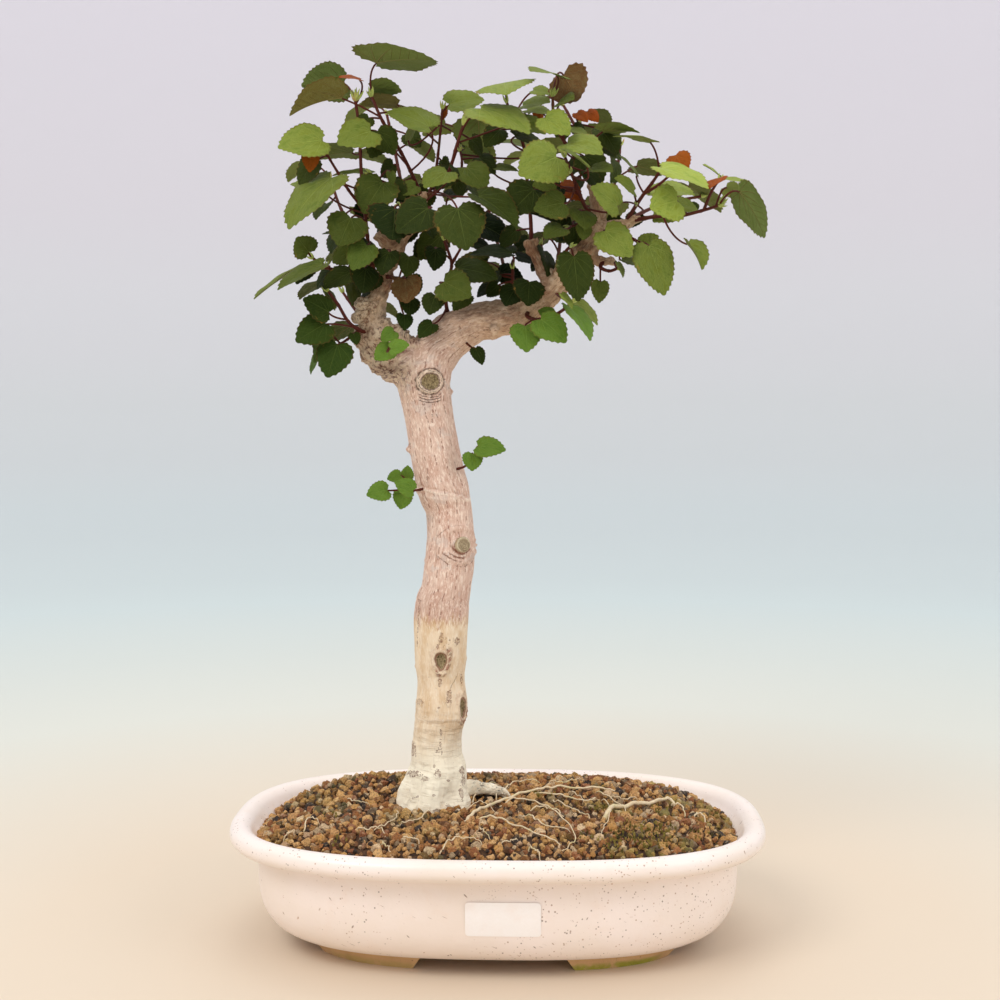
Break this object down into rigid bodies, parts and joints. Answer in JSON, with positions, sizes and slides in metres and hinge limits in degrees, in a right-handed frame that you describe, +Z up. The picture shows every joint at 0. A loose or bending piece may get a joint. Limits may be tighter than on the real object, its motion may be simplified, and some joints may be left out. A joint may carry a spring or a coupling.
{
  "type": "potted bonsai tree",
  "caption": "Sea hibiscus bonsai with a forked pale trunk and heart-shaped toothed leaves, in a shallow oval glazed pot on low feet.",
  "frame": {"origin": "on the ground under the middle of the pot", "axes": "+Z up, +X to the right as seen from the front, +Y away from the front"},
  "size_m": [0.3588, 0.2442, 0.5926],
  "materials": {
    "pot_glaze": "cream glaze with small dark specks, satin; unglazed tan feet",
    "drain_screen": "dark woven plastic mesh, matte",
    "soil": "fired clay and pumice granules, rough and dry",
    "bark": "smooth pale bark with lenticels and healed cuts, matte",
    "label_paper": "blank white paper slip, satin",
    "leaf": "soft green leaf, satin, with pale veins",
    "leaf_young": "fresh light green leaf, satin"
  },
  "bodies": {
    "root": {"pot": "pot_glaze", "drain_screen_left": "drain_screen", "drain_screen_right": "drain_screen", "soil": "soil", "trunk": "bark", "label": "label_paper", "shoot_top_left": "leaf", "shoot_outer_left": "leaf", "shoot_inner_left": "leaf", "shoot_front_left": "leaf", "shoot_centre": "leaf", "shoot_centre_low": "leaf", "shoot_crown": "leaf", "shoot_crown_right": "leaf", "shoot_top_right": "leaf", "shoot_mid_right": "leaf", "shoot_front_right": "leaf", "shoot_right": "leaf", "shoot_right_up": "leaf", "shoot_right_low": "leaf", "shoot_twig_low": "leaf", "shoot_over_limb": "leaf", "shoot_over_stub": "leaf", "shoot_fork": "leaf", "shoot_low_left": "leaf", "shoot_mid_left": "leaf", "shoot_inner_low": "leaf", "shoot_fresh": "leaf_young", "shoot_under_limb": "leaf_young", "sprout_limb": "leaf_young", "sprout_left": "leaf_young", "sprout_right": "leaf_young", "rear_left": "leaf", "rear_upright": "leaf", "rear_centre": "leaf", "rear_limb": "leaf", "rear_elbow": "leaf", "rear_right": "leaf", "rear_branch": "leaf", "rear_top": "leaf", "rear_low_left": "leaf"}
  },
  "joints": []
}
